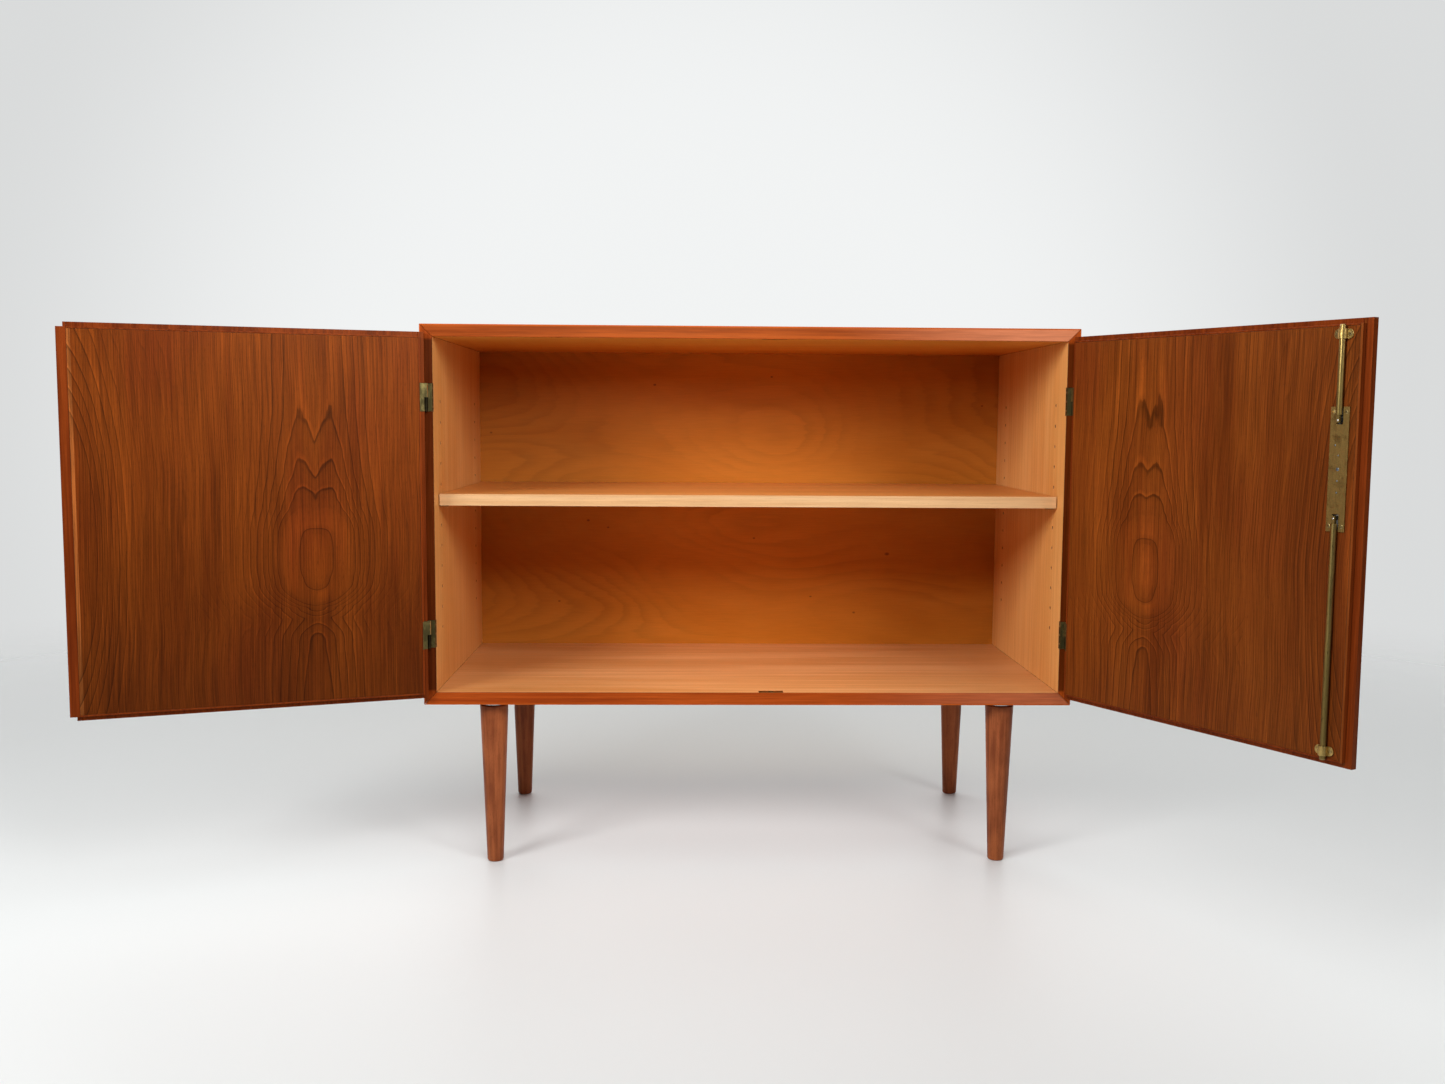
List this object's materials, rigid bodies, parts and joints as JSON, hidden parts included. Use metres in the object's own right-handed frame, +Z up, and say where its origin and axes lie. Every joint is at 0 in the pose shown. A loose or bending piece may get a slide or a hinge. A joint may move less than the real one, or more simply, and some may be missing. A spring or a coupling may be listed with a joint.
{
  "type": "tv stand with doors",
  "caption": "Low teak cabinet on round tapered legs, with hinged doors, an adjustable shelf, and a key lock that throws rods up and down.",
  "frame": {"origin": "centre of the top's upper face, which carries what stands on the cabinet; the feet are 838 mm below it", "axes": "+X to the right along the front, seen by someone facing the doors; +Y from the doors to the back; +Z up"},
  "size_m": [1.7099, 0.9031, 0.838],
  "materials": {
    "teak_veneer": "oiled veneer",
    "teak_solid": "oiled solid teak",
    "beech": "varnished beech veneer",
    "pale_beech": "varnished solid beech",
    "birch_ply": "varnished plywood",
    "stained_beech": "stained and oiled",
    "brass": "tarnished brass",
    "steel": "plain steel"
  },
  "bodies": {
    "cabinet": {"top_panel": "teak_veneer", "bottom_panel": "teak_veneer", "left_side_panel": "teak_veneer", "right_side_panel": "teak_veneer", "back_panel": "birch_ply", "top_front_lipping": "teak_solid", "bottom_front_lipping": "teak_solid", "left_front_lipping": "teak_solid", "right_front_lipping": "teak_solid", "upper_strike_plate": "brass", "lower_strike_plate": "brass", "shelf_pin_front_left": "brass", "shelf_pin_rear_left": "brass", "shelf_pin_front_right": "brass", "shelf_pin_rear_right": "brass", "left_lower_hinge_frame_leaf": "brass", "left_upper_hinge_frame_leaf": "brass", "right_lower_hinge_frame_leaf": "brass", "right_upper_hinge_frame_leaf": "brass", "front_left_leg": "stained_beech", "front_left_leg_plate": "steel", "front_left_leg_bolt": "steel", "front_right_leg": "stained_beech", "front_right_leg_plate": "steel", "front_right_leg_bolt": "steel", "rear_left_leg": "stained_beech", "rear_left_leg_plate": "steel", "rear_left_leg_bolt": "steel", "rear_right_leg": "stained_beech", "rear_right_leg_plate": "steel", "rear_right_leg_bolt": "steel"},
    "shelf": {"shelf_board": "beech", "shelf_front_lipping": "pale_beech"},
    "left_door": {"left_door_panel": "teak_veneer", "left_door_hinge_lipping": "teak_solid", "left_door_free_lipping": "teak_solid", "left_door_bottom_lipping": "teak_solid", "left_door_top_lipping": "teak_solid", "left_lower_hinge_door_leaf": "brass", "left_upper_hinge_door_leaf": "brass"},
    "right_door": {"right_door_panel": "teak_veneer", "right_door_hinge_lipping": "teak_solid", "right_door_free_lipping": "teak_solid", "right_door_bottom_lipping": "teak_solid", "right_door_top_lipping": "teak_solid", "right_lower_hinge_door_leaf": "brass", "right_upper_hinge_door_leaf": "brass", "lock_case": "steel", "lock_cover_plate": "brass", "key_escutcheon": "brass", "upper_rod_guide": "brass", "lower_rod_guide": "brass"},
    "lock_spindle": {"lock_pinion": "steel", "key": "steel"},
    "upper_bolt": {"upper_rack": "steel", "upper_rod": "brass"},
    "lower_bolt": {"lower_rack": "steel", "lower_rod": "brass"}
  },
  "joints": [
    {"name": "left_door_hinge", "type": "hinge", "parent": "cabinet", "child": "left_door", "pos_m": [-0.4895, -0.2405, -0.29], "axis": [0, 0, 1], "range_deg": [-19, 160.9]},
    {"name": "right_door_hinge", "type": "hinge", "parent": "cabinet", "child": "right_door", "pos_m": [0.4895, -0.2405, -0.29], "axis": [0, 0, 1], "range_deg": [-119.5, 60.5]},
    {"name": "lock_turn", "type": "hinge", "parent": "right_door", "child": "lock_spindle", "pos_m": [0.7138, -0.63695, -0.1967], "axis": [0.8704, 0.4924, 0], "range_deg": [0, 90]},
    {"name": "upper_bolt_slide", "type": "slide", "parent": "right_door", "child": "upper_bolt", "axis": [0, 0, 1], "range_m": [0, 0.00982]},
    {"name": "lower_bolt_slide", "type": "slide", "parent": "right_door", "child": "lower_bolt", "axis": [0, 0, -1], "range_m": [0, 0.00982]},
    {"name": "shelf_lift", "type": "slide", "parent": "cabinet", "child": "shelf", "axis": [0, 0, 1], "range_m": [0, 0.03]}
  ],
  "couplings": [
    {"joint": "lock_turn", "follows": "lower_bolt_slide", "rad_per_m": 160},
    {"joint": "upper_bolt_slide", "follows": "lower_bolt_slide", "ratio": 1}
  ]
}
